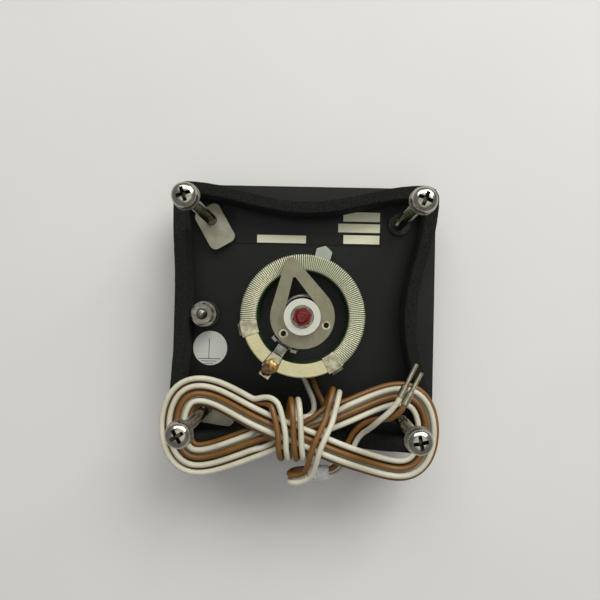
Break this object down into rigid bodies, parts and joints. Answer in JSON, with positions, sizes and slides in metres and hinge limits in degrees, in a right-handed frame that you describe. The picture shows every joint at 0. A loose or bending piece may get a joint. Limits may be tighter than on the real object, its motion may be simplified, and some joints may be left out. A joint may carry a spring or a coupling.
{
  "type": "panel dimmer rheostat",
  "caption": "Square flush-mount panel dimmer seen from behind: open wirewound ring rheostat with turning wiper, clamp screws, foam gasket and a tied hank of leads.",
  "frame": {"origin": "on the knob's outer face, on the shaft's axis, under the middle of the panel", "axes": "+Z along the shaft from the knob to the rear of the panel; +Y towards the type plate; +X towards the side away from the earth stud"},
  "size_m": [0.0962, 0.1048, 0.0665],
  "materials": {
    "panel_black": "fine satin",
    "bush_metal": "dull",
    "foam": "open foam, matt",
    "plate_black": "printed blank film",
    "disc_white": "film",
    "plated_steel": "zinc plated",
    "nylon": "translucent nylon",
    "claw_metal": "cast, matt",
    "base_dark": "matt",
    "enamel_green": "vitreous enamel",
    "resistance_wire": "drawn wire",
    "cement_cream": "smooth cement",
    "tinned": "tinned",
    "sealed_solder": "lacquered solder",
    "strap_metal": "dull",
    "hub_white": "glazed white",
    "arm_metal": "satin",
    "brush_graphite": "metal graphite",
    "sealed_nut": "red sealing lacquer",
    "knob_black": "satin",
    "cap_metal": "spun",
    "lead_white": "soft plastic",
    "lead_brown": "soft plastic",
    "clear_tube": "clear soft tube"
  },
  "bodies": {
    "root": {"front_panel": "panel_black", "threaded_bushes": "bush_metal", "foam_gasket": "foam", "type_plate": "plate_black", "earth_disc": "disc_white", "earth_stud": "plated_steel", "earth_nuts": "plated_steel", "earth_washers": "plated_steel", "nylon_pillar": "nylon", "clamp_screws": "plated_steel", "lock_washers": "plated_steel", "plain_washers": "plated_steel", "rheostat_base": "base_dark", "ring_core": "enamel_green", "resistance_winding": "resistance_wire", "ring_bridges": "cement_cream", "right_end_terminal": "tinned", "left_end_terminal": "tinned", "centre_terminal": "tinned", "solder_joint": "sealed_solder", "collector_strap": "strap_metal", "stop_bracket": "strap_metal", "hub_bush": "bush_metal", "bush_washer": "plated_steel", "bush_nut": "plated_steel", "contact_spring": "strap_metal", "white_lead_in": "lead_white", "white_hank": "lead_white", "white_tail": "lead_white", "brown_lead_in": "lead_brown", "brown_hank": "lead_brown", "brown_tail": "lead_brown", "white_pin": "tinned", "brown_pin": "tinned", "clear_sleeve": "clear_tube"},
    "rotor": {"control_shaft": "plated_steel", "wiper_hub": "hub_white", "wiper_arm": "arm_metal", "arm_eyelets": "arm_metal", "contact_brush": "brush_graphite", "hub_washer": "plated_steel", "hub_nut": "sealed_nut", "knob": "knob_black", "knob_screw": "plated_steel", "knob_cap": "cap_metal"},
    "upper_claw": {"upper_claw": "claw_metal"},
    "lower_claw": {"lower_claw": "claw_metal"}
  },
  "joints": [
    {"name": "shaft_turn", "type": "hinge", "parent": "root", "child": "rotor", "pos_m": [0, 0, 0.012], "axis": [0, 0, 1], "range_deg": [-150, 80]},
    {"name": "upper_claw_swivel", "type": "hinge", "parent": "root", "child": "upper_claw", "pos_m": [-0.0345, 0.0345, 0.0173], "axis": [0, 0, 1], "range_deg": [-35, 50]},
    {"name": "lower_claw_swivel", "type": "hinge", "parent": "root", "child": "lower_claw", "pos_m": [-0.0345, -0.0345, 0.0173], "axis": [0, 0, 1], "range_deg": [-3, 95]}
  ]
}
